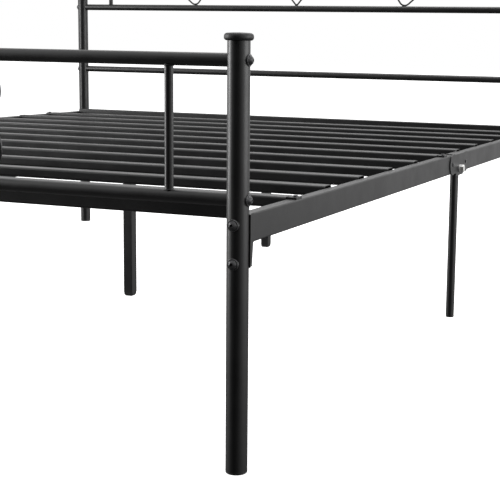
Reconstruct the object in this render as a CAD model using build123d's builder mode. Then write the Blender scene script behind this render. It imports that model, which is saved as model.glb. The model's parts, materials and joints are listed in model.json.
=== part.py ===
"""Queen-size tubular steel platform bed frame with a headboard, a footboard and a slatted deck.

Units are millimetres. +X points to the right seen from the foot end, +Y points to the headboard, +Z is up.
The origin lies on the floor, under the middle of the bed.
The deck is in two halves. The foot half swings up on the fold brackets of the two middle side legs.
"""
from build123d import *
import math
import os

# ---------------------------------------------------------------- driving dimensions
post_x = 773.0              # half the distance between the two posts of a board
post_y = 1033.0             # half the distance between the boards
post_r = 16.0
post_wall = 1.5
fit_gap = 0.4               # gap between a post and what is shaped to fit round it

cap_r = 20.7
cap_height = 11.0
glide_height = 4.0
centre_foot_height = 9.0

board_rail_r = 9.5
board_rail_wall = 1.5
spindle_r = 6.35
spindle_wall = 1.2
spindle_x = 665.0
wire_r = 2.5

foot_top_rail_z = 589.0
foot_lower_rail_z = 396.0
head_top_rail_z = 985.0
head_mid_rail_z = 721.0
head_lower_rail_z = 518.0
cap_above_rail = 26.5       # from the axis of a top rail to the underside of the post cap

rail_width = 20.0           # side rails, rectangular tube
rail_height = 42.0
rail_wall = 1.2
rail_corner = 2.5
rail_top_z = 376.0
rail_outer_x = post_x + 13.5
rail_mid_x = rail_outer_x - rail_width / 2
rail_axis_z = rail_top_z - rail_height / 2

saddle_depth = 25.0         # from the axis of a post to the end of a side rail
saddle_foot_depth = 19.0    # the same at the lower end of a saddle
saddle_bottom_z = 300.0
saddle_wall = 2.0
saddle_bolt_z = (362.0, 307.0)

slat_depth = 30.0
slat_height = 18.0
slat_wall = 1.2
slat_corner = 4.0
slat_top_z = 380.0
slat_bottom_z = slat_top_z - slat_height
slat_count = 11
foot_slat_count = 6
tab_slats = (1, 6, 11)      # slats with a screwed tab over the side rails
tab_thick = slat_top_z - slat_wall / 2 - rail_top_z

cross_rail_depth = 20.0
cross_rail_height = 20.0
cross_rail_top_z = 385.0
cross_rail_y = post_y - 32.0
slat_pitch = 2 * cross_rail_y / (slat_count + 1)

centre_width = 24.0         # centre rail and centre legs
centre_rail_bottom_z = 334.0
leg_wall = 1.5
leg_plate_thick = 3.0
end_plate_length = 68.0
mid_plate_length = 50.0
side_leg_r = 9.5

fold_y = 47.0               # axis that the foot half swings on
fold_rivet_y = 155.0        # rivet that fixes the head half
leg_y = 103.0               # the two middle side legs
leg_bolt_z = 343.0
leg_bolt_r = 4.0
head_rail_start_y = -27.0   # the centre rail of the head half also carries the middle centre leg
foot_rail_stop_y = -36.0
centre_rail_end_y = 870.0
end_leg_y = 814.0
plate_thick = 2.0
ear_r = 23.0
fold_clear = 0.3            # each side, between the foot half and the plates it turns between
rivet_r = 3.0
running_clear = 0.05

bolt_r = 3.0
bolt_hole_r = 3.3
bolt_head_r = 6.5
washer_r = 8.5
washer_out = 17.6           # from the axis of a post to the outer face of its washers
screw_r = 2.5

right, left = 1, -1
foot, head = -1, 1
side_names = {right: "right", left: "left"}

os.makedirs("parts", exist_ok=True)


def finish(piece, name):
    """Label a finished piece and write it to its own file."""
    piece.part.label = name
    export_step(piece.part, f"parts/{name}.step")


def along_x(x, y, z):
    """Plane that faces +X, with its own x along Y and its own y along Z."""
    return Plane(origin=(x, y, z), x_dir=(0, 1, 0), z_dir=(1, 0, 0))


def along_y(x, y, z):
    """Plane that faces +Y, with its own x along -X and its own y along Z."""
    return Plane(origin=(x, y, z), x_dir=(-1, 0, 0), z_dir=(0, 1, 0))


def outward(x, y, z, direction):
    """Plane on the axis of a post that faces out along a bolt, with its own x along the post."""
    return Plane(origin=(x, y, z), x_dir=(0, 0, 1), z_dir=direction)


def slat_y(number):
    """Y of the middle of a slat, counted from the foot end."""
    return -cross_rail_y + slat_pitch * number


# ---------------------------------------------------------------- posts, caps and glides
def post(side, end, top_z, rail_heights):
    """Round corner post with cross holes for the board rail bolts and the side rail bolts."""
    x = side * post_x
    y = end * post_y
    with BuildPart() as tube:
        with BuildSketch(Plane(origin=(x, y, glide_height))):
            Circle(post_r)
            Circle(post_r - post_wall, mode=Mode.SUBTRACT)
        extrude(amount=top_z - glide_height)
        with Locations(*[outward(x, y, z, (1, 0, 0)) for z in rail_heights]):
            Cylinder(bolt_hole_r, 3 * post_r, mode=Mode.SUBTRACT)
        with Locations(*[outward(x, y, z, (0, 1, 0)) for z in saddle_bolt_z]):
            Cylinder(bolt_hole_r, 3 * post_r, mode=Mode.SUBTRACT)
    return tube


def post_cap():
    """Mushroom cap: a shallow dome on a full round rim, with a hollow plug that goes into the tube."""
    plug_r = post_r - post_wall - 0.1
    plug_wall = 2.0
    plug_depth = 18.0
    dome_r = 190.0
    top_rim_r = 4.8
    lower_rim_r = 4.2
    with BuildPart() as cap:
        Cylinder(cap_r, cap_height, align=(Align.CENTER, Align.CENTER, Align.MIN))
        with Locations((0, 0, cap_height - dome_r)):
            Sphere(dome_r, mode=Mode.INTERSECT)
        circles = cap.edges().filter_by(GeomType.CIRCLE)
        rims = circles.filter_by(lambda edge: abs(edge.radius - cap_r) < 0.1).sort_by(Axis.Z)
        fillet(rims[-1], top_rim_r)
        fillet(rims[0], lower_rim_r)
        with BuildSketch(Plane.XY):
            Circle(plug_r)
            Circle(plug_r - plug_wall, mode=Mode.SUBTRACT)
        extrude(amount=-plug_depth)
    return cap


def round_glide(radius, wall):
    """Plastic foot for a round tube: a disc on the floor and a hollow plug."""
    plug_r = radius - wall - 0.1
    with BuildPart() as glide:
        Cylinder(radius, glide_height, align=(Align.CENTER, Align.CENTER, Align.MIN))
        fillet(glide.edges().group_by(Axis.Z)[0], 2.5)
        with BuildSketch(Plane.XY.offset(glide_height)):
            Circle(plug_r)
            Circle(plug_r - 2, mode=Mode.SUBTRACT)
        extrude(amount=20)
    return glide


def square_glide():
    """Plastic foot for a square centre leg: a pad that tapers to the floor and a hollow plug."""
    plug = centre_width - 2 * leg_wall - 0.2
    taper = 4.0
    with BuildPart() as glide:
        with BuildSketch():
            RectangleRounded(centre_width, centre_width, taper + 0.5)
        extrude(amount=centre_foot_height)
        chamfer(glide.edges().group_by(Axis.Z)[0], taper)
        with BuildSketch(Plane.XY.offset(centre_foot_height)):
            Rectangle(plug, plug)
            Rectangle(plug - 4, plug - 4, mode=Mode.SUBTRACT)
        extrude(amount=20)
    return glide


# ---------------------------------------------------------------- board tubes
def board_rail(z, end):
    """Round rail between the two posts of a board, its ends shaped to the posts."""
    y = end * post_y
    with BuildPart() as rail:
        with BuildSketch(along_x(-post_x, y, z)):
            Circle(board_rail_r)
            Circle(board_rail_r - board_rail_wall, mode=Mode.SUBTRACT)
        extrude(amount=2 * post_x)
        with Locations((-post_x, y, z), (post_x, y, z)):
            Cylinder(post_r + fit_gap / 2, 3 * board_rail_r, mode=Mode.SUBTRACT)
    return rail


def spindles(lower_z, upper_z, end):
    """Two upright tubes between two rails, their ends shaped to the rails."""
    y = end * post_y
    with BuildPart() as tubes:
        with BuildSketch(Plane.XY.offset(lower_z)):
            with Locations((-spindle_x, y), (spindle_x, y)):
                Circle(spindle_r)
                Circle(spindle_r - spindle_wall, mode=Mode.SUBTRACT)
        extrude(amount=upper_z - lower_z)
        with Locations(along_x(0, y, lower_z), along_x(0, y, upper_z)):
            Cylinder(board_rail_r + 0.05, 2 * post_x, mode=Mode.SUBTRACT)
    return tubes


# ---------------------------------------------------------------- ornament wires
def scroll_wire(upside_down):
    """Bent wire across the headboard panel: a wave that dips to the rail three times."""
    seat_z = head_mid_rail_z + board_rail_r + wire_r + 0.05
    middle_z = (head_mid_rail_z + head_top_rail_z) / 2
    crest_z = middle_z - wire_r - 0.05
    dip_x = 350.0
    shoulder_x = 497.0
    crest_x = 194.0
    dip_bend = 18.0
    crest_bend = 160.0
    shoulder_bend = 380.0
    point_bend = 6.0
    end_x = spindle_x - spindle_r - 0.05
    half = [(end_x, crest_z), (shoulder_x, crest_z), (dip_x, seat_z - 9.0), (crest_x, crest_z + 108.5)]
    other_half = [(-x, z) for x, z in reversed(half)]
    corners = half + [(0, seat_z - 3.2)] + other_half
    bends = [shoulder_bend, dip_bend, crest_bend]
    with BuildPart() as wire:
        with BuildLine(Plane(origin=(0, post_y, 0), x_dir=(1, 0, 0), z_dir=(0, -1, 0))) as path:
            FilletPolyline(*corners, radius=bends + [point_bend] + bends[::-1])
        with BuildSketch(Plane(origin=path.line @ 0, z_dir=path.line % 0)):
            Circle(wire_r)
        sweep()
        if upside_down:
            mirror(about=Plane.XY.offset(middle_z), mode=Mode.REPLACE)
    return wire


def footboard_rings():
    """Four wire rings, two stacked at each side of the footboard panel."""
    gap = foot_top_rail_z - foot_lower_rail_z - 2 * board_rail_r
    ring_out = gap / 4 - 0.05
    ring_x = 340.0
    middle_z = (foot_top_rail_z + foot_lower_rail_z) / 2
    with BuildPart() as rings:
        for x in (-ring_x, ring_x):
            for z in (middle_z - gap / 4, middle_z + gap / 4):
                with Locations(along_y(x, -post_y, z)):
                    Torus(ring_out - wire_r, wire_r)
    return rings


def footboard_diamond():
    """Closed wire diamond in the middle of the footboard panel."""
    half_height = (foot_top_rail_z - foot_lower_rail_z) / 2 - board_rail_r - wire_r - 0.05
    reach = half_height + 3.0
    middle_z = (foot_top_rail_z + foot_lower_rail_z) / 2
    corners = [(reach, 0), (0, reach), (-reach, 0), (0, -reach)]
    with BuildPart() as wire:
        with BuildLine(Plane(origin=(0, -post_y, middle_z), x_dir=(1, 0, 0), z_dir=(0, -1, 0))) as path:
            FilletPolyline(*corners, radius=7.0, close=True)
        with BuildSketch(Plane(origin=path.line @ 0, z_dir=path.line % 0)):
            Circle(wire_r)
        sweep()
    return wire


# ---------------------------------------------------------------- fasteners
def button_bolt(shank):
    """Button-head bolt with a hexagon socket. Its origin is the underside of the head."""
    head_height = 4.0
    with BuildPart() as bolt:
        with BuildSketch(Plane.XZ):
            with BuildLine():
                Polyline((0, head_height), (0, 0), (bolt_head_r, 0), (bolt_head_r, 0.8))
                ThreePointArc((bolt_head_r, 0.8), (bolt_head_r - 2.0, 3.1), (bolt_head_r - 3.4, head_height))
                Line((bolt_head_r - 3.4, head_height), (0, head_height))
            make_face()
        revolve(axis=Axis.Z)
        with BuildSketch(Plane.XY.offset(head_height)):
            RegularPolygon(2.3, 6)
        extrude(amount=-2.4, mode=Mode.SUBTRACT)
        with BuildSketch(Plane.XY):
            Circle(bolt_r)
        extrude(amount=-shank)
    return bolt


def saddle_washer():
    """Round washer with one face curved to sit on a post. Its origin is on the axis of the post."""
    with BuildPart() as washer:
        with BuildSketch(Plane.XY.offset(post_r - 4)):
            Circle(washer_r)
            Circle(bolt_hole_r, mode=Mode.SUBTRACT)
        extrude(amount=washer_out - post_r + 4)
        chamfer(washer.edges().group_by(Axis.Z)[-1].sort_by(SortBy.RADIUS)[-1], 0.6)
        Cylinder(post_r + 0.02, 3 * washer_r, rotation=(0, 90, 0), mode=Mode.SUBTRACT)
    return washer


def hex_nut(across_flats, height, hole_r):
    """Hexagon nut with flats facing its own x. It stands on its origin."""
    with BuildPart() as nut:
        with BuildSketch():
            RegularPolygon(across_flats / 2, 6, major_radius=False, rotation=30)
            Circle(hole_r, mode=Mode.SUBTRACT)
        extrude(amount=height)
    return nut


def end_nut():
    """Threaded plug inside the end of a board rail. It stands on its origin."""
    with BuildPart() as nut:
        with BuildSketch():
            Circle(board_rail_r - board_rail_wall - 0.1)
            Circle(bolt_r + 0.1, mode=Mode.SUBTRACT)
        extrude(amount=14)
    return nut


def pan_screw(shank):
    """Low round-head screw with a cross recess. Its origin is the underside of the head."""
    with BuildPart() as screw:
        Cylinder(4.5, 2.5, align=(Align.CENTER, Align.CENTER, Align.MIN))
        fillet(screw.edges().group_by(Axis.Z)[-1], 1.4)
        with BuildSketch(Plane.XY.offset(2.5)):
            Rectangle(4.2, 1.0)
            Rectangle(1.0, 4.2)
        extrude(amount=-1.2, mode=Mode.SUBTRACT)
        with BuildSketch(Plane.XY):
            Circle(screw_r)
        extrude(amount=-shank)
    return screw


def bolt_planes(end, rail_heights):
    """Where the button-head bolts of one end sit: out through the sides and out through the end."""
    planes = []
    for side in (right, left):
        for z in rail_heights:
            planes.append(outward(side * post_x, end * post_y, z, (side, 0, 0)))
        for z in saddle_bolt_z:
            planes.append(outward(side * post_x, end * post_y, z, (0, end, 0)))
    return planes


def button_bolts(end, rail_heights):
    """All the button-head bolts of one end, as separate solids."""
    with BuildPart() as bolt:
        add(button_bolt(washer_out + saddle_depth + 6).part)
    with BuildPart() as bolts:
        with Locations(*[plane.offset(washer_out) for plane in bolt_planes(end, rail_heights)]):
            add(bolt.part)
    return bolts


def washers(end, rail_heights):
    """All the curved washers of one end."""
    with BuildPart() as group:
        with Locations(*bolt_planes(end, rail_heights)):
            add(saddle_washer().part)
    return group


def nuts(end, rail_heights):
    """Threaded plugs in the board rails and weld nuts behind the saddles of one end."""
    nut_start = post_r + 1.5
    nut_back = post_r + fit_gap + saddle_wall
    with BuildPart() as group:
        plugs = [
            outward(side * post_x, end * post_y, z, (-side, 0, 0)).offset(nut_start)
            for side in (right, left)
            for z in rail_heights
        ]
        with Locations(*plugs):
            add(end_nut().part)
        behind = [
            Plane(origin=(side * post_x, end * (post_y - nut_back), z), x_dir=(1, 0, 0), z_dir=(0, -end, 0))
            for side in (right, left)
            for z in saddle_bolt_z
        ]
        with Locations(*behind):
            add(hex_nut(9.4, 5.0, bolt_r + 0.1).part)
    return group


# ---------------------------------------------------------------- side rails and their saddles
def saddle_outline(end, y):
    """Side outline of a saddle box: full depth behind the side rail, slanted towards the post below it."""
    knee_z = rail_top_z - rail_height
    back = y - end * saddle_depth
    knee = y - end * (saddle_depth - 2)
    tip = y - end * saddle_foot_depth
    lower = [(y, saddle_bottom_z), (tip, saddle_bottom_z), (knee, knee_z)]
    upper = [(back, knee_z), (back, rail_top_z), (y, rail_top_z)]
    Polyline(*lower, *upper, close=True)


def saddles(end):
    """Two saddles of one end. Each is a curved plate round the back of the post with a box behind it."""
    plate_in = post_r + fit_gap
    plate_out = plate_in + saddle_wall
    plate_front = 4.0
    box_wall = 1.2
    tall = rail_top_z - saddle_bottom_z
    middle_z = (rail_top_z + saddle_bottom_z) / 2
    with BuildPart() as group:
        for side in (right, left):
            x = side * post_x
            y = end * post_y
            box_x = side * rail_mid_x - rail_width / 2
            with BuildSketch(along_x(box_x, 0, 0)):
                with BuildLine():
                    saddle_outline(end, y)
                make_face()
            extrude(amount=rail_width)
            inner_x = box_x + rail_width / 2
            with Locations((inner_x, y, middle_z - box_wall)):
                Box(rail_width - 2 * box_wall, 3 * saddle_depth, tall, mode=Mode.SUBTRACT)
            with BuildSketch(Plane(origin=(x, y, saddle_bottom_z))):
                Circle(plate_out)
                with Locations((0, -end * (plate_front + plate_out / 2))):
                    Rectangle(2 * plate_out, plate_out, mode=Mode.INTERSECT)
            extrude(amount=tall)
            with Locations((x, y, middle_z)):
                Cylinder(plate_in, 2 * tall, mode=Mode.SUBTRACT)
            with Locations(*[outward(x, y, z, (0, 1, 0)) for z in saddle_bolt_z]):
                Cylinder(bolt_hole_r, 3 * saddle_depth, mode=Mode.SUBTRACT)
    return group


def tab_holes(side, numbers):
    """Holes in the top of a side rail for the screws of the tabs."""
    with Locations(*[(side * (rail_mid_x + 1), slat_y(n), rail_top_z) for n in numbers]):
        Cylinder(screw_r + 0.2, 8, mode=Mode.SUBTRACT)


def foot_side_rail(side):
    """Foot half of a side rail: rectangular tube with a round closed end that turns on its rivet."""
    start_y = -post_y + saddle_depth
    width = rail_width - 2 * fold_clear
    length = fold_y - start_y
    with BuildPart() as rail:
        with BuildSketch(along_x(side * rail_mid_x - width / 2, start_y + length / 2, rail_axis_z)):
            Rectangle(length, rail_height)
            with Locations((length / 2, 0)):
                Circle(rail_height / 2)
        extrude(amount=width)
        long_edges = rail.edges().filter_by(Axis.Y)
        fillet(long_edges, rail_corner)
        inside_x = side * rail_mid_x - width / 2 + rail_wall
        with BuildSketch(along_x(inside_x, start_y + length / 2, rail_axis_z)):
            Rectangle(length, rail_height - 2 * rail_wall)
            with Locations((length / 2, 0)):
                Circle(rail_height / 2 - rail_wall)
        extrude(amount=width - 2 * rail_wall, mode=Mode.SUBTRACT)
        with Locations(along_x(side * rail_mid_x, fold_y, rail_axis_z)):
            Cylinder(rivet_r + running_clear, 2 * rail_width, mode=Mode.SUBTRACT)
        tab_holes(side, [n for n in tab_slats if n <= foot_slat_count])
    return rail


def head_side_rail(side):
    """Head half of a side rail: rectangular tube from the middle leg to the saddle on the head post."""
    start_y = leg_y + 12.0
    length = post_y - saddle_depth - start_y
    with BuildPart() as rail:
        with BuildSketch(along_y(side * rail_mid_x, start_y, rail_axis_z)):
            RectangleRounded(rail_width, rail_height, rail_corner)
            offset(amount=-rail_wall, mode=Mode.SUBTRACT)
        extrude(amount=length)
        with Locations(along_x(side * rail_mid_x, fold_rivet_y, rail_axis_z)):
            Cylinder(rivet_r + running_clear, 2 * rail_width, mode=Mode.SUBTRACT)
        tab_holes(side, [n for n in tab_slats if n > foot_slat_count])
    return rail


# ---------------------------------------------------------------- fold brackets
def fold_bracket(side):
    """Channel bracket: two plates with round ears and a top web. It joins both half rails to a middle leg."""
    lobe_r = 15.5
    mid_x = side * rail_mid_x
    plate_bottom_z = rail_axis_z - ear_r + 2
    with BuildPart() as bracket:
        for start in (mid_x - rail_width / 2 - plate_thick, mid_x + rail_width / 2):
            with BuildSketch(along_x(start, 0, 0)):
                with Locations((fold_y, rail_axis_z), (fold_rivet_y, rail_axis_z)):
                    Circle(ear_r)
                with Locations(((fold_y + fold_rivet_y) / 2, (rail_top_z + plate_bottom_z) / 2)):
                    Rectangle(fold_rivet_y - fold_y, rail_top_z - plate_bottom_z)
                with Locations((leg_y, leg_bolt_z)):
                    Circle(lobe_r)
                with Locations((leg_y, leg_bolt_z - lobe_r / 2)):
                    Trapezoid(66, lobe_r - 1.0, 130, rotation=180)
            extrude(amount=plate_thick)
        web_start = fold_y + ear_r + 0.5
        web_end = leg_y + 12.0
        with Locations((mid_x, (web_start + web_end) / 2, rail_top_z)):
            Box(rail_width, web_end - web_start, plate_thick, align=(Align.CENTER, Align.CENTER, Align.MAX))
        with Locations(along_x(mid_x, fold_y, rail_axis_z), along_x(mid_x, fold_rivet_y, rail_axis_z)):
            Cylinder(rivet_r + running_clear, 4 * rail_width, mode=Mode.SUBTRACT)
        with Locations(along_x(mid_x, leg_y, leg_bolt_z)):
            Cylinder(leg_bolt_r + 0.2, 4 * rail_width, mode=Mode.SUBTRACT)
        with Locations((0, slat_y(foot_slat_count + 1), slat_bottom_z - fold_clear)):
            Box(
                2 * rail_mid_x - rail_width, slat_depth + 2 * fold_clear, 2 * slat_height,
                align=(Align.CENTER, Align.CENTER, Align.MIN), mode=Mode.SUBTRACT,
            )
    return bracket


def fold_rivets():
    """Four rivets across the two brackets. Two of them are the pins that the foot half turns on."""
    head_r = 4.5
    head_height = 1.5
    half = rail_width / 2 + plate_thick
    with BuildPart() as rivets:
        for mid_x in (rail_mid_x, -rail_mid_x):
            for y in (fold_y, fold_rivet_y):
                with Locations(along_x(mid_x, y, rail_axis_z)):
                    Cylinder(rivet_r, 2 * half)
                for direction in (1, -1):
                    with Locations(along_x(mid_x + direction * (half + head_height / 2), y, rail_axis_z)):
                        Cylinder(head_r, head_height)
    return rivets


def fold_sleeves():
    """Sleeves inside the ends of the foot half that keep the walls apart on the rivets."""
    with BuildPart() as sleeves:
        for side in (right, left):
            length = rail_width - 2 * fold_clear - 2 * rail_wall
            with BuildSketch(along_x(side * rail_mid_x - length / 2, fold_y, rail_axis_z)):
                Circle(rivet_r + 2.5)
                Circle(rivet_r + running_clear, mode=Mode.SUBTRACT)
            extrude(amount=length)
    return sleeves


def leg_bolts():
    """Two bright flanged hexagon bolts with nuts. They hold the middle side legs in their brackets."""
    half = rail_width / 2 + plate_thick
    flange_r = 8.5
    flange_height = 1.6
    head_across_flats = 14.0
    head_height = 8.4
    nut_across_flats = 13.0
    nut_height = 6.0
    with BuildPart() as bolts:
        for side in (right, left):
            x = side * (rail_mid_x + half)
            base = Plane(origin=(x, leg_y, leg_bolt_z), x_dir=(0, 0, 1), z_dir=(side, 0, 0))
            with BuildSketch(base):
                Circle(flange_r)
            extrude(amount=flange_height)
            with BuildSketch(base.offset(flange_height)):
                RegularPolygon(head_across_flats / 2, 6, major_radius=False)
            extrude(amount=head_height)
            with BuildSketch(base):
                Circle(leg_bolt_r)
            extrude(amount=-(2 * half + nut_height + 1.5))
            with BuildSketch(base.offset(-2 * half)):
                RegularPolygon(nut_across_flats / 2, 6, major_radius=False)
            extrude(amount=-nut_height)
    return bolts


# ---------------------------------------------------------------- slats, cross rails and centre rail
def slat(number):
    """One cross slat. Some slats have a tab at each end that is screwed on top of the side rail."""
    y = slat_y(number)
    inner = rail_mid_x - rail_width / 2
    if number <= foot_slat_count:
        inner += fold_clear
    with BuildPart() as tube:
        with BuildSketch(along_x(-inner, y, slat_top_z - slat_height / 2)):
            RectangleRounded(slat_depth, slat_height, slat_corner)
            offset(amount=-slat_wall, mode=Mode.SUBTRACT)
        extrude(amount=2 * inner)
        if number in tab_slats:
            for side in (right, left):
                with Locations((side * (rail_mid_x - 4), y, rail_top_z)):
                    Box(22, 22, tab_thick, align=(Align.CENTER, Align.CENTER, Align.MIN))
                with Locations((side * (rail_mid_x + 1), y, rail_top_z)):
                    Cylinder(screw_r + 0.2, 12, mode=Mode.SUBTRACT)
    return tube


def cross_rail(end):
    """Tube that closes one end of the deck, between the side rails."""
    inner = rail_mid_x - rail_width / 2
    middle_z = cross_rail_top_z - cross_rail_height / 2
    with BuildPart() as tube:
        with BuildSketch(along_x(-inner, end * cross_rail_y, middle_z)):
            RectangleRounded(cross_rail_depth, cross_rail_height, 3.0)
            RectangleRounded(cross_rail_depth - 3, cross_rail_height - 3, 1.5, mode=Mode.SUBTRACT)
        extrude(amount=2 * inner)
    return tube


def leg_screw_ys(y, plate_length):
    """Y of the two screws that hold the top plate of a centre leg."""
    inset = 7.5
    return [y - plate_length / 2 + inset, y + plate_length / 2 - inset]


foot_screw_ys = leg_screw_ys(-end_leg_y, end_plate_length)
head_screw_ys = leg_screw_ys(end_leg_y, end_plate_length) + leg_screw_ys(0, mid_plate_length)


def centre_rail(start_y, stop_y, screw_ys):
    """One half of the rail under the slats, along the middle of the bed."""
    height = slat_bottom_z - centre_rail_bottom_z
    with BuildPart() as tube:
        with BuildSketch(along_y(0, start_y, centre_rail_bottom_z + height / 2)):
            RectangleRounded(centre_width, height, 2.0)
            RectangleRounded(centre_width - 2 * leg_wall, height - 2 * leg_wall, 0.5, mode=Mode.SUBTRACT)
        extrude(amount=stop_y - start_y)
        with Locations(*[(0, y, centre_rail_bottom_z) for y in screw_ys]):
            Cylinder(screw_r + 0.2, 8, mode=Mode.SUBTRACT)
    return tube


def deck_screws(numbers, screw_ys):
    """Screws through the slat tabs into the side rails, and up through the plates of the centre legs."""
    tab_top = rail_top_z + tab_thick
    tops = [
        Plane(origin=(side * (rail_mid_x + 1), slat_y(n), tab_top))
        for side in (right, left)
        for n in numbers
    ]
    plate_bottom = centre_rail_bottom_z - leg_plate_thick
    bottoms = [Plane(origin=(0, y, plate_bottom), x_dir=(1, 0, 0), z_dir=(0, 0, -1)) for y in screw_ys]
    with BuildPart() as group:
        with Locations(*tops, *bottoms):
            add(pan_screw(8).part)
    return group


# ---------------------------------------------------------------- legs
def centre_leg(y, plate_length):
    """Square centre leg with a plate that is screwed under the centre rail."""
    plate_bottom = centre_rail_bottom_z - leg_plate_thick
    with BuildPart() as leg:
        with BuildSketch(Plane(origin=(0, y, centre_foot_height))):
            RectangleRounded(centre_width, centre_width, 2.5)
            Rectangle(centre_width - 2 * leg_wall, centre_width - 2 * leg_wall, mode=Mode.SUBTRACT)
        extrude(amount=plate_bottom - centre_foot_height)
        with Locations((0, y, plate_bottom)):
            Box(centre_width, plate_length, leg_plate_thick, align=(Align.CENTER, Align.CENTER, Align.MIN))
        with Locations(*[(0, screw_y, plate_bottom) for screw_y in leg_screw_ys(y, plate_length)]):
            Cylinder(screw_r + 0.2, 12, mode=Mode.SUBTRACT)
    return leg


def mid_side_leg(side):
    """Round middle leg under a side rail, held between the plates of the fold bracket."""
    x = side * rail_mid_x
    with BuildPart() as leg:
        with BuildSketch(Plane(origin=(x, leg_y, glide_height))):
            Circle(side_leg_r)
            Circle(side_leg_r - leg_wall, mode=Mode.SUBTRACT)
        extrude(amount=rail_top_z - plate_thick - 2 - glide_height)
        with Locations(along_x(x, leg_y, leg_bolt_z)):
            Cylinder(leg_bolt_r + 0.2, 4 * side_leg_r, mode=Mode.SUBTRACT)
    return leg


# ---------------------------------------------------------------- the foot half
foot_rail_heights = (foot_top_rail_z, foot_lower_rail_z)
foot_cap_z = foot_top_rail_z + cap_above_rail
for side in (right, left):
    finish(post(side, foot, foot_cap_z, foot_rail_heights), f"foot_post_{side_names[side]}")
    finish(foot_side_rail(side), f"foot_side_rail_{side_names[side]}")

with BuildPart() as foot_caps:
    with Locations((post_x, -post_y, foot_cap_z), (-post_x, -post_y, foot_cap_z)):
        add(post_cap().part)
finish(foot_caps, "foot_post_caps")

with BuildPart() as foot_glides:
    with Locations((post_x, -post_y, 0), (-post_x, -post_y, 0)):
        add(round_glide(post_r, post_wall).part)
    with Locations((0, -end_leg_y, 0)):
        add(square_glide().part)
finish(foot_glides, "foot_glides")

finish(board_rail(foot_top_rail_z, foot), "footboard_top_rail")
finish(board_rail(foot_lower_rail_z, foot), "footboard_lower_rail")
finish(spindles(foot_lower_rail_z, foot_top_rail_z, foot), "footboard_spindles")
finish(footboard_rings(), "footboard_rings")
finish(footboard_diamond(), "footboard_diamond")
finish(button_bolts(foot, foot_rail_heights), "foot_post_bolts")
finish(washers(foot, foot_rail_heights), "foot_post_washers")
finish(nuts(foot, foot_rail_heights), "foot_post_nuts")
finish(saddles(foot), "foot_rail_saddles")
finish(cross_rail(foot), "foot_cross_rail")
finish(centre_rail(-centre_rail_end_y, foot_rail_stop_y, foot_screw_ys), "foot_centre_rail")
finish(centre_leg(-end_leg_y, end_plate_length), "foot_centre_leg")
finish(deck_screws([n for n in tab_slats if n <= foot_slat_count], foot_screw_ys), "foot_deck_screws")
finish(fold_sleeves(), "fold_sleeves")

# ---------------------------------------------------------------- the head half
head_rail_heights = (head_top_rail_z, head_mid_rail_z, head_lower_rail_z)
head_cap_z = head_top_rail_z + cap_above_rail
for side in (right, left):
    finish(post(side, head, head_cap_z, head_rail_heights), f"head_post_{side_names[side]}")
    finish(head_side_rail(side), f"head_side_rail_{side_names[side]}")

with BuildPart() as head_caps:
    with Locations((post_x, post_y, head_cap_z), (-post_x, post_y, head_cap_z)):
        add(post_cap().part)
finish(head_caps, "head_post_caps")

with BuildPart() as head_glides:
    with Locations((post_x, post_y, 0), (-post_x, post_y, 0)):
        add(round_glide(post_r, post_wall).part)
    with Locations((rail_mid_x, leg_y, 0), (-rail_mid_x, leg_y, 0)):
        add(round_glide(side_leg_r, leg_wall).part)
    with Locations((0, end_leg_y, 0), (0, 0, 0)):
        add(square_glide().part)
finish(head_glides, "head_glides")

finish(board_rail(head_top_rail_z, head), "headboard_top_rail")
finish(board_rail(head_mid_rail_z, head), "headboard_middle_rail")
finish(board_rail(head_lower_rail_z, head), "headboard_lower_rail")
finish(spindles(head_mid_rail_z, head_top_rail_z, head), "headboard_spindles")
finish(scroll_wire(False), "headboard_lower_scroll")
finish(scroll_wire(True), "headboard_upper_scroll")
finish(button_bolts(head, head_rail_heights), "head_post_bolts")
finish(washers(head, head_rail_heights), "head_post_washers")
finish(nuts(head, head_rail_heights), "head_post_nuts")
finish(saddles(head), "head_rail_saddles")
finish(cross_rail(head), "head_cross_rail")
finish(centre_rail(head_rail_start_y, centre_rail_end_y, head_screw_ys), "head_centre_rail")
finish(centre_leg(end_leg_y, end_plate_length), "head_centre_leg")
finish(deck_screws([n for n in tab_slats if n > foot_slat_count], head_screw_ys), "head_deck_screws")

# ---------------------------------------------------------------- slats of both halves
for number in range(1, slat_count + 1):
    finish(slat(number), f"slat_{number:02d}")

# ---------------------------------------------------------------- middle legs and fold brackets
for side in (right, left):
    finish(fold_bracket(side), f"fold_bracket_{side_names[side]}")
    finish(mid_side_leg(side), f"middle_leg_{side_names[side]}")
finish(centre_leg(0, mid_plate_length), "middle_leg_centre")
finish(fold_rivets(), "fold_rivets")
finish(leg_bolts(), "middle_leg_bolts")
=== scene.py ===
"""Looks of a black powder-coated metal bed frame on a pale studio floor."""
import json
import math
import random

import bmesh
import bpy
from mathutils import Matrix, Vector

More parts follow.
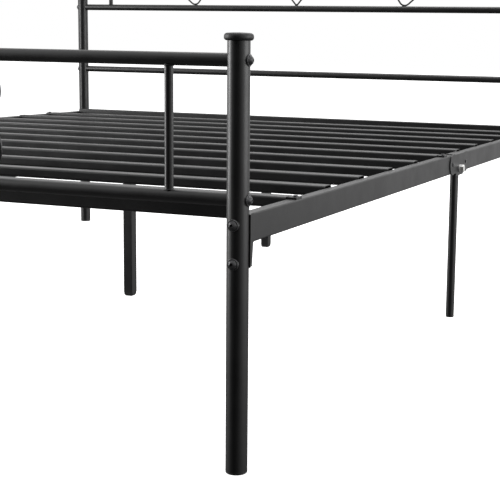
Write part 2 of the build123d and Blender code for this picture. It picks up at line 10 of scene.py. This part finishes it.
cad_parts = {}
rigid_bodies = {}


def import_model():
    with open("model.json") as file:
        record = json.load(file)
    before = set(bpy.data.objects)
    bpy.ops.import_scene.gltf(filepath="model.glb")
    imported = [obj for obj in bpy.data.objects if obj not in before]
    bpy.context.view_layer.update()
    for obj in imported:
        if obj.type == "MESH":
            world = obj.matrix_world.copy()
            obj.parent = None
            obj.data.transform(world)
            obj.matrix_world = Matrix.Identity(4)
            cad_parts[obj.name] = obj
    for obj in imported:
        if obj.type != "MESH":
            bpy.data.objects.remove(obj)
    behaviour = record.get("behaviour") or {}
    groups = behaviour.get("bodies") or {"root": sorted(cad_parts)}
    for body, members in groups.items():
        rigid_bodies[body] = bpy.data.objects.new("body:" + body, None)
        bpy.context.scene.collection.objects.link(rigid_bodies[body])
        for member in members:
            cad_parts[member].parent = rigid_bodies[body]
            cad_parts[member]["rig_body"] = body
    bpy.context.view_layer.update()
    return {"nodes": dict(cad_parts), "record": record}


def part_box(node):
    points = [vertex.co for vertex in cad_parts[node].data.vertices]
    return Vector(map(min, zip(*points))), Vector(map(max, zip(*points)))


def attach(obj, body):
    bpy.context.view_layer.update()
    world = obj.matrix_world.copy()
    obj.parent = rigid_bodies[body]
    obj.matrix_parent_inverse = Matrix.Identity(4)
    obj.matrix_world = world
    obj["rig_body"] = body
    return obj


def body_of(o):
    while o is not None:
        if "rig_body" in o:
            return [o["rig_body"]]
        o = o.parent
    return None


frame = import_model()

random.seed(11)

FLOOR_GLOW = 0.80            # the pale floor is lit evenly, so that it stays light under the bed
BACKDROP_GLOW = 1.0
# the studio is dim in front of the footboard and bright at the sides and behind
WORLD_FRONT = 0.03
WORLD_BACK = 0.88
WORLD_FLOOR = 0.12           # share of the glow that comes from below
SHARP_ANGLE = math.radians(32)

BEAD_RADIUS = 0.0013         # welds of spindles and slats
TACK_RADIUS = 0.0014         # short welds of the ornament wires
TACK_HALF_LENGTH = 0.0045
TACK_OFFSET = 0.0012         # from the plane of the wires to each of the two tacks
WELD_SINK = 0.0004           # how far a bead is set into the metal it joins
SLAT_HALF_DEPTH = 0.015
DIP_X = 0.350                # where the headboard wires dip to the rails, besides the middle
CREST_X = 0.194              # where the two headboard wires meet


# ---------------------------------------------------------------- materials
class Graph:
    """A small helper that builds node trees."""

    def __init__(self, name):
        self.material = bpy.data.materials.new(name)
        self.material.use_nodes = True
        self.tree = self.material.node_tree
        self.shader = self.tree.nodes["Principled BSDF"]
        self.object_space = self.add("ShaderNodeTexCoord").outputs["Object"]

    def add(self, kind, **settings):
        node = self.tree.nodes.new(kind)
        for key, value in settings.items():
            setattr(node, key, value)
        return node

    def link(self, output, socket):
        self.tree.links.new(output, socket)

    def noise(self, scale, detail=3.0, roughness=0.5, stretch=None):
        node = self.add("ShaderNodeTexNoise")
        node.inputs["Scale"].default_value = scale
        node.inputs["Detail"].default_value = detail
        node.inputs["Roughness"].default_value = roughness
        if stretch:
            mapping = self.add("ShaderNodeMapping")
            mapping.inputs["Scale"].default_value = stretch
            self.link(self.object_space, mapping.inputs["Vector"])
            self.link(mapping.outputs["Vector"], node.inputs["Vector"])
        else:
            self.link(self.object_space, node.inputs["Vector"])
        return node.outputs["Fac"]

    def remap(self, value, low, high, to_low, to_high):
        node = self.add("ShaderNodeMapRange")
        node.inputs["From Min"].default_value = low
        node.inputs["From Max"].default_value = high
        node.inputs["To Min"].default_value = to_low
        node.inputs["To Max"].default_value = to_high
        self.link(value, node.inputs["Value"])
        return node.outputs["Result"]

    def mix(self, factor, a, b):
        node = self.add("ShaderNodeMix", data_type="RGBA")
        self.link(factor, node.inputs["Factor"])
        for socket, value in ((node.inputs[6], a), (node.inputs[7], b)):
            if isinstance(value, tuple):
                socket.default_value = value + (1.0,)
            else:
                self.link(value, socket)
        return node.outputs[2]

    def bumps(self, layers):
        previous = None
        for height, strength, distance in layers:
            node = self.add("ShaderNodeBump")
            node.inputs["Strength"].default_value = strength
            node.inputs["Distance"].default_value = distance
            self.link(height, node.inputs["Height"])
            if previous:
                self.link(previous, node.inputs["Normal"])
            previous = node.outputs["Normal"]
        self.link(previous, self.shader.inputs["Normal"])

    def set(self, **values):
        for key, value in values.items():
            self.shader.inputs[key.replace("_", " ")].default_value = value

    def convex_edge_mask(self, radius, low, high):
        """1 on convex edges, broken up by noise, and 0 elsewhere."""
        bevel = self.add("ShaderNodeBevel", samples=4)
        bevel.inputs["Radius"].default_value = radius
        geometry = self.add("ShaderNodeNewGeometry")
        dot = self.add("ShaderNodeVectorMath", operation="DOT_PRODUCT")
        self.link(bevel.outputs["Normal"], dot.inputs[0])
        self.link(geometry.outputs["Normal"], dot.inputs[1])
        edge = self.remap(dot.outputs["Value"], 0.98, 0.85, 0.0, 1.0)
        patch = self.remap(self.noise(60.0, 4.0, 0.6), low, high, 0.0, 1.0)
        both = self.add("ShaderNodeMath", operation="MULTIPLY", use_clamp=True)
        self.link(edge, both.inputs[0])
        self.link(patch, both.inputs[1])
        return both.outputs["Value"]


def powder_coat():
    """Satin black powder coat: fine orange peel, cloudy gloss and slightly rubbed edges."""
    g = Graph("powder_coat")
    cloud = g.noise(5.0, 4.0, 0.55)
    patches = g.remap(cloud, 0.35, 0.65, 0.0, 1.0)
    base = g.mix(patches, (0.0070, 0.0070, 0.0074), (0.0105, 0.0105, 0.0110))
    edge_mask = g.convex_edge_mask(0.0007, 0.50, 0.68)
    g.link(g.mix(edge_mask, base, (0.060, 0.060, 0.060)), g.shader.inputs["Base Color"])
    g.link(g.remap(g.noise(17.0, 4.0, 0.6), 0.3, 0.7, 0.36, 0.47), g.shader.inputs["Roughness"])
    peel = g.noise(620.0, 2.0, 0.5)
    ripple = g.noise(130.0, 2.0, 0.5)
    g.bumps([(ripple, 0.10, 0.0006), (peel, 0.16, 0.00025)])
    g.set(Metallic=0.0, Specular_IOR_Level=0.62, Coat_Weight=0.10, Coat_Roughness=0.28)
    return g.material


def moulded_plastic():
    """Matt black moulded plastic with a fine spark-eroded grain and light scuffs."""
    g = Graph("moulded_plastic")
    cloud = g.noise(40.0, 3.0, 0.5)
    base = g.mix(g.remap(cloud, 0.35, 0.65, 0.0, 1.0), (0.016, 0.016, 0.016), (0.023, 0.023, 0.024))
    scuff = g.remap(g.noise(85.0, 6.0, 0.7, (1.0, 1.0, 6.0)), 0.60, 0.74, 0.0, 1.0)
    g.link(g.mix(scuff, base, (0.045, 0.045, 0.045)), g.shader.inputs["Base Color"])
    g.link(g.remap(g.noise(200.0, 3.0, 0.5), 0.3, 0.7, 0.42, 0.56), g.shader.inputs["Roughness"])
    g.bumps([(g.noise(900.0, 2.0, 0.5), 0.22, 0.0002)])
    g.set(Metallic=0.0, Specular_IOR_Level=0.5)
    return g.material


def black_oxide():
    """Blackened steel of bolts, washers and nuts; its convex edges are painted light, partly rubbed wear
    and partly a painted highlight.
    """
    g = Graph("black_oxide")
    cloud = g.noise(240.0, 4.0, 0.6)
    base = g.mix(g.remap(cloud, 0.3, 0.7, 0.0, 1.0), (0.060, 0.060, 0.062), (0.100, 0.100, 0.104))
    edge_mask = g.convex_edge_mask(0.0006, 0.30, 0.50)
    # painted highlight: convex edges of the heads are coloured bright grey, partly real rubbed wear and
    # partly standing in for the light arcs that reflections draw on them
    g.link(g.mix(edge_mask, base, (0.60, 0.60, 0.61)), g.shader.inputs["Base Color"])
    g.link(g.remap(g.noise(310.0, 3.0, 0.5), 0.3, 0.7, 0.26, 0.40), g.shader.inputs["Roughness"])
    g.bumps([(g.noise(1400.0, 2.0, 0.5), 0.12, 0.0001)])
    g.set(Metallic=0.75, Specular_IOR_Level=0.6)
    return g.material


def zinc():
    """Bright zinc plate with a faint yellow bloom and fine turning marks."""
    g = Graph("zinc_plate")
    bloom = g.noise(160.0, 4.0, 0.6)
    base = g.mix(g.remap(bloom, 0.35, 0.68, 0.0, 1.0), (0.88, 0.89, 0.90), (0.80, 0.79, 0.75))
    g.link(base, g.shader.inputs["Base Color"])
    g.link(g.remap(g.noise(420.0, 3.0, 0.5), 0.3, 0.7, 0.30, 0.44), g.shader.inputs["Roughness"])
    g.bumps([(g.noise(700.0, 2.0, 0.4, (5.0, 1.0, 1.0)), 0.10, 0.0001)])
    g.set(Metallic=0.45, Specular_IOR_Level=0.9)
    return g.material


def weld_metal():
    """Weld beads under the same powder coat, rougher than the tubes."""
    g = Graph("coated_weld")
    base = g.mix(g.noise(300.0, 3.0, 0.5), (0.008, 0.008, 0.009), (0.014, 0.014, 0.015))
    g.link(base, g.shader.inputs["Base Color"])
    g.link(g.remap(g.noise(260.0, 3.0, 0.6), 0.3, 0.7, 0.40, 0.55), g.shader.inputs["Roughness"])
    g.bumps([(g.noise(520.0, 3.0, 0.6), 0.35, 0.0005)])
    g.set(Metallic=0.0, Specular_IOR_Level=0.6)
    return g.material


def floor_paint():
    """Pale seamless studio floor."""
    g = Graph("studio_floor")
    tone = g.mix(g.noise(0.8, 2.0, 0.5), (0.93, 0.93, 0.93), (0.955, 0.955, 0.955))
    g.link(tone, g.shader.inputs["Base Color"])
    g.set(Roughness=0.95, Specular_IOR_Level=0.1, Emission_Strength=FLOOR_GLOW)
    g.shader.inputs["Emission Color"].default_value = (1.0, 1.0, 1.0, 1.0)
    return g.material


materials = {
    "powder_black": powder_coat(),
    "plastic_black": moulded_plastic(),
    "black_fasteners": black_oxide(),
    "zinc_bolts": zinc(),
}
slot_of = {row["node"]: row["material_slot"] for row in frame["record"]["subparts"]}

for name, node in frame["nodes"].items():
    node.data.materials.clear()
    node.data.materials.append(materials[slot_of[name]])
    for polygon in node.data.polygons:
        polygon.use_smooth = True
    node.data.set_sharp_from_angle(angle=SHARP_ANGLE)

weld_material = weld_metal()


# ---------------------------------------------------------------- weld beads
def centre(node):
    low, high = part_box(node)
    return (low + high) / 2


class Beads:
    """Collects bumpy weld beads in one mesh."""

    def __init__(self):
        self.mesh = bmesh.new()

    @staticmethod
    def twist(a, b, shift):
        """Total length of the sides between two rings when the second is turned by a number of steps."""
        around = len(a)
        return sum((a[k].co - b[(k + shift) % around].co).length for k in range(around))

    def run(self, points, radius, closed=False, around=8):
        """A bead along a path, its radius rippled as the weld pool leaves it."""
        rings = []
        count = len(points)
        for i, point in enumerate(points):
            before = points[i - 1] if i or closed else points[i]
            after = points[(i + 1) % count] if i < count - 1 or closed else points[i]
            along = (after - before).normalized()
            side = along.orthogonal().normalized()
            lift = along.cross(side)
            swell = radius * (0.86 + 0.16 * math.sin(i * 1.9) + random.uniform(-0.07, 0.07))
            if not closed and i in (0, count - 1):
                swell *= 0.35
            ring = []
            for k in range(around):
                angle = 2 * math.pi * k / around
                offset = side * math.cos(angle) + lift * math.sin(angle)
                ring.append(self.mesh.verts.new(point + offset * swell))
            rings.append(ring)
        pairs = list(zip(rings, rings[1:]))
        if closed:
            pairs.append((rings[-1], rings[0]))
        for a, b in pairs:
            best = min(range(around), key=lambda shift: self.twist(a, b, shift))
            for k in range(around):
                j = (k + 1) % around
                self.mesh.faces.new((a[k], a[j], b[(j + best) % around], b[(k + best) % around]))
        if not closed:
            self.mesh.faces.new(list(reversed(rings[0])))
            self.mesh.faces.new(rings[-1])

    def ring(self, middle, axis, big, radius, count=22):
        """A closed bead round a joint."""
        side = axis.orthogonal().normalized()
        lift = axis.cross(side)
        points = []
        for k in range(count):
            angle = 2 * math.pi * k / count
            points.append(middle + (side * math.cos(angle) + lift * math.sin(angle)) * big)
        self.run(points, radius, closed=True)

    def straight(self, start, stop, radius, step=0.0022):
        length = (stop - start).length
        count = max(4, int(length / step))
        self.run([start.lerp(stop, k / (count - 1)) for k in range(count)], radius)

    def build(self, name, body):
        bmesh.ops.recalc_face_normals(self.mesh, faces=self.mesh.faces)
        data = bpy.data.meshes.new(name)
        self.mesh.to_mesh(data)
        self.mesh.free()
        piece = bpy.data.objects.new(name, data)
        bpy.context.scene.collection.objects.link(piece)
        data.materials.append(weld_material)
        for polygon in data.polygons:
            polygon.use_smooth = True
        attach(piece, body)
        return piece


UP = Vector((0, 0, 1))
rail_radius = (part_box("footboard_top_rail")[1].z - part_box("footboard_top_rail")[0].z) / 2


def spindle_beads(beads, node, lower, upper):
    """Beads where two spindles meet the rails under and over them."""
    low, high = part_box(node)
    spindle_radius = (high.y - low.y) / 2
    y = (low.y + high.y) / 2
    for x in (low.x + spindle_radius, high.x - spindle_radius):
        for rail, sign in ((lower, 1), (upper, -1)):
            z = centre(rail).z + sign * (rail_radius - 0.0006)
            beads.ring(Vector((x, y, z)), UP, spindle_radius + 0.0002, BEAD_RADIUS)


def slat_beads(beads, names):
    """Two short beads on each slat end, down the faces that meet the side rail."""
    for name in names:
        low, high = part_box(name)
        y = (low.y + high.y) / 2
        for side in (-1, 1):
            x = side * rail_inner - side * WELD_SINK
            for edge in (-1, 1):
                start = Vector((x, y + edge * SLAT_HALF_DEPTH, low.z + 0.004))
                stop = Vector((x, y + edge * SLAT_HALF_DEPTH, low.z + 0.0135))
                beads.straight(start, stop, BEAD_RADIUS)


rail_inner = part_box("head_side_rail_right")[0].x
all_slats = sorted(n for n in frame["nodes"] if n.startswith("slat_"))
foot_slats = [n for n in all_slats if body_of(frame["nodes"][n]) == ["foot_half"]]
head_slats = [n for n in all_slats if n not in foot_slats]

for body, slats in (("foot_half", foot_slats), ("head_half", head_slats)):
    beads = Beads()
    slat_beads(beads, slats)
    if body == "foot_half":
        spindle_beads(beads, "footboard_spindles", "footboard_lower_rail", "footboard_top_rail")
        ring_low, ring_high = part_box("footboard_rings")
        ring_x = ring_high.x - (ring_high.z - ring_low.z) / 4
        y = centre("footboard_rings").y
        spots = []
        for x in (-ring_x, ring_x):
            for z in (ring_low.z + 0.0002, (ring_low.z + ring_high.z) / 2, ring_high.z - 0.0002):
                spots.append((x, z))
        diamond_low, diamond_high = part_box("footboard_diamond")
        spots += [(0.0, diamond_low.z + 0.0002), (0.0, diamond_high.z - 0.0002)]
    else:
        spindle_beads(beads, "headboard_spindles", "headboard_middle_rail", "headboard_top_rail")
        low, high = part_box("headboard_lower_scroll")
        top_low, top_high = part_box("headboard_upper_scroll")
        y = centre("headboard_lower_scroll").y
        spots = []
        for x in (-DIP_X, 0.0, DIP_X):
            spots += [(x, low.z + WELD_SINK), (x, top_high.z - WELD_SINK)]
        for x in (-CREST_X, CREST_X):
            spots.append((x, high.z))
        for x in (low.x, high.x):
            spots += [(x, high.z - 0.0025), (x, top_low.z + 0.0025)]
    for x, z in spots:
        for side in (-1, 1):
            start = Vector((x - TACK_HALF_LENGTH, y + side * TACK_OFFSET, z))
            stop = Vector((x + TACK_HALF_LENGTH, y + side * TACK_OFFSET, z))
            beads.straight(start, stop, TACK_RADIUS, step=0.0012)
    beads.build("foot_weld_beads" if body == "foot_half" else "head_weld_beads", body)


# ---------------------------------------------------------------- floor and backdrop
def stage_piece(name, mesh, material):
    """A floor or backdrop that the camera sees and that throws no light on the bed."""
    data = bpy.data.meshes.new(name)
    mesh.to_mesh(data)
    mesh.free()
    piece = bpy.data.objects.new(name, data)
    bpy.context.scene.collection.objects.link(piece)
    data.materials.append(material)
    piece.visible_diffuse = False
    piece.visible_glossy = False
    piece.visible_transmission = False
    return piece


def backdrop_paint():
    """Bright even paper behind the bed."""
    g = Graph("studio_backdrop")
    g.set(Base_Color=(0.0, 0.0, 0.0, 1.0), Roughness=1.0)
    g.set(Specular_IOR_Level=0.0, Emission_Strength=BACKDROP_GLOW)
    g.shader.inputs["Emission Color"].default_value = (1.0, 1.0, 1.0, 1.0)
    return g.material


floor_mesh = bmesh.new()
bmesh.ops.create_grid(floor_mesh, x_segments=8, y_segments=8, size=30.0)
stage_piece("studio_floor", floor_mesh, floor_paint())

dome_mesh = bmesh.new()
bmesh.ops.create_uvsphere(dome_mesh, u_segments=48, v_segments=24, radius=40.0)
dome = stage_piece("studio_backdrop", dome_mesh, backdrop_paint())
dome.visible_shadow = False


# ---------------------------------------------------------------- light
def area_light(name, place, target, width, height, power):
    """A rectangular softbox turned to its target. The camera doesn't see it."""
    light = bpy.data.lights.new(name, "AREA")
    light.shape = "RECTANGLE"
    light.size = width
    light.size_y = height
    light.energy = power
    lamp = bpy.data.objects.new(name, light)
    lamp.location = place
    direction = Vector(target) - Vector(place)
    lamp.rotation_euler = direction.to_track_quat("-Z", "Y").to_euler()
    lamp.visible_camera = False
    bpy.context.scene.collection.objects.link(lamp)


area_light("overhead_softbox", (0.4, 1.4, 3.6), (0.0, 0.3, 0.3), 3.6, 2.4, 60.0)
area_light("left_strip", (-3.4, -1.75, 1.1), (0.5, -0.9, 0.4), 0.9, 2.6, 120.0)
area_light("right_panel", (4.6, 0.4, 1.2), (0.7, 0.0, 0.4), 3.4, 2.4, 80.0)

bpy.context.scene.view_settings.view_transform = "Standard"

world = bpy.data.worlds.new("studio_world")
bpy.context.scene.world = world
world.use_nodes = True
tree = world.node_tree
background = tree.nodes["Background"]
background.inputs["Color"].default_value = (1.0, 1.0, 1.0, 1.0)
direction = tree.nodes.new("ShaderNodeTexCoord")
split = tree.nodes.new("ShaderNodeSeparateXYZ")
tree.links.new(direction.outputs["Generated"], split.inputs["Vector"])


def world_ramp(output, low, high, to_low, to_high):
    """Smooth change of the glow with the direction that it comes from."""
    node = tree.nodes.new("ShaderNodeMapRange")
    node.interpolation_type = "SMOOTHSTEP"
    for key, value in (("From Min", low), ("From Max", high), ("To Min", to_low), ("To Max", to_high)):
        node.inputs[key].default_value = value
    tree.links.new(output, node.inputs["Value"])
    return node.outputs["Result"]


depth_glow = world_ramp(split.outputs["Y"], -0.88, -0.35, WORLD_FRONT, WORLD_BACK)
height_glow = world_ramp(split.outputs["Z"], -0.35, 0.10, WORLD_FLOOR, 1.0)
product = tree.nodes.new("ShaderNodeMath")
product.operation = "MULTIPLY"
tree.links.new(depth_glow, product.inputs[0])
tree.links.new(height_glow, product.inputs[1])
tree.links.new(product.outputs["Value"], background.inputs["Strength"])


# ---------------------------------------------------------------- camera
def photo_camera(place, yaw, pitch, roll, focal, centre_x, centre_y, width=500, height=477):
    """Camera from its place, its turn to the left of +Y, its dip, its roll and its pinhole pixels."""
    ahead = math.cos(pitch)
    forward = Vector((-math.sin(yaw) * ahead, math.cos(yaw) * ahead, -math.sin(pitch)))
    level = Vector((math.cos(yaw), math.sin(yaw), 0.0))
    over = level.cross(forward)
    right = math.cos(roll) * level + math.sin(roll) * over
    above = -math.sin(roll) * level + math.cos(roll) * over
    turn = Matrix((right, above, -forward)).transposed()
    data = bpy.data.cameras.new("photo_camera")
    data.sensor_fit = "HORIZONTAL"
    data.sensor_width = 36.0
    data.lens = focal * data.sensor_width / width
    data.shift_x = (width / 2 - centre_x) / width
    data.shift_y = (centre_y - height / 2) / width
    data.clip_end = 200.0
    camera = bpy.data.objects.new("photo_camera", data)
    camera.matrix_world = Matrix.Translation(place) @ turn.to_4x4()
    bpy.context.scene.collection.objects.link(camera)
    return camera


bpy.context.scene.camera = photo_camera(
    Vector((1.49837, -2.57716, 0.61208)), 0.36082, 0.15602, 0.01815, 1229.71, 333.115, 238.173
)
